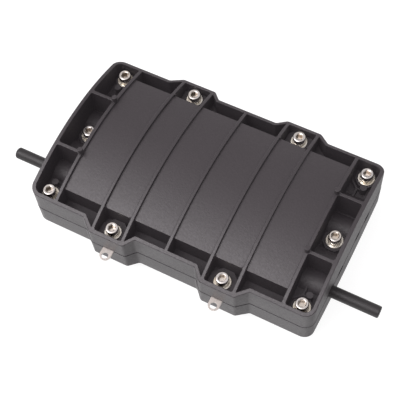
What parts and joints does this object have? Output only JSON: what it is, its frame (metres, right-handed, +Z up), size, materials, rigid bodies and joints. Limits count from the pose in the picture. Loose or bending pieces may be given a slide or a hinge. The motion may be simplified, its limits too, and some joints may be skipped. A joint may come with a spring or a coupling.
{
  "type": "horizontal fibre splice closure",
  "caption": "Flat two-part splice closure with a crowned ribbed cover, perimeter screws, hanger lugs, sealed end ports and hinged fibre trays inside.",
  "frame": {"origin": "bottom centre of the bounding box, at the height of the four feet under the base", "axes": "+X along the closure's length through both cable ends, +Y across it away from the hanger lugs, +Z up through the cover"},
  "size_m": [0.4356, 0.2268, 0.0975],
  "materials": {
    "shell_plastic": "moulded semi-matt charcoal plastic with a faint grain",
    "rod_plastic": "extruded satin dark plastic",
    "seal_rubber": "matt black moulded rubber",
    "screw_steel": "bright stainless steel, turned",
    "spring_steel": "bright stainless spring steel",
    "washer_steel": "stamped stainless steel",
    "lug_steel": "brushed stainless sheet",
    "bracket_steel": "galvanised sheet steel",
    "brass": "turned brass",
    "tray_plastic": "light grey moulded plastic",
    "holder_rubber": "dark grey moulded comb"
  },
  "bodies": {
    "case_base": {"lower_shell": "shell_plastic", "perimeter_gasket": "seal_rubber", "threaded_inserts": "brass", "hanger_lug_left": "lug_steel", "hanger_lug_right": "lug_steel", "plug_rod_left": "rod_plastic", "plug_rod_right": "rod_plastic", "rod_grommet_left": "seal_rubber", "rod_grommet_right": "seal_rubber", "tray_bracket": "bracket_steel", "bracket_screws": "screw_steel", "splice_tray_lower": "tray_plastic", "tray_screws": "screw_steel", "tray_hinge_pin": "screw_steel", "splice_holder_lower": "holder_rubber", "cable_clamp_left": "bracket_steel", "cable_clamp_right": "bracket_steel", "clamp_screws": "screw_steel", "strength_anchor_left": "brass", "strength_anchor_right": "brass", "anchor_screws": "screw_steel", "blank_grommet_l1": "seal_rubber", "blank_grommet_l2": "seal_rubber", "blank_grommet_l3": "seal_rubber", "blank_grommet_r1": "seal_rubber", "blank_grommet_r2": "seal_rubber", "blank_grommet_r3": "seal_rubber"},
    "cover": {"upper_shell": "shell_plastic", "cover_screws": "screw_steel", "spring_washers": "spring_steel", "flat_washers": "washer_steel"},
    "upper_tray": {"splice_tray_upper": "tray_plastic", "splice_holder_upper": "holder_rubber"}
  },
  "joints": [
    {"name": "cover_lift", "type": "slide", "parent": "case_base", "child": "cover", "axis": [0, 0, 1], "range_m": [0, 0.2]},
    {"name": "tray_hinge", "type": "hinge", "parent": "case_base", "child": "upper_tray", "pos_m": [-0.0982, 0.00637, 0.0565], "axis": [0, -1, 0], "range_deg": [0, 57.3]}
  ],
  "couplings": [
    {"joint": "tray_hinge", "follows": "cover_lift", "rad_per_m": 5}
  ]
}
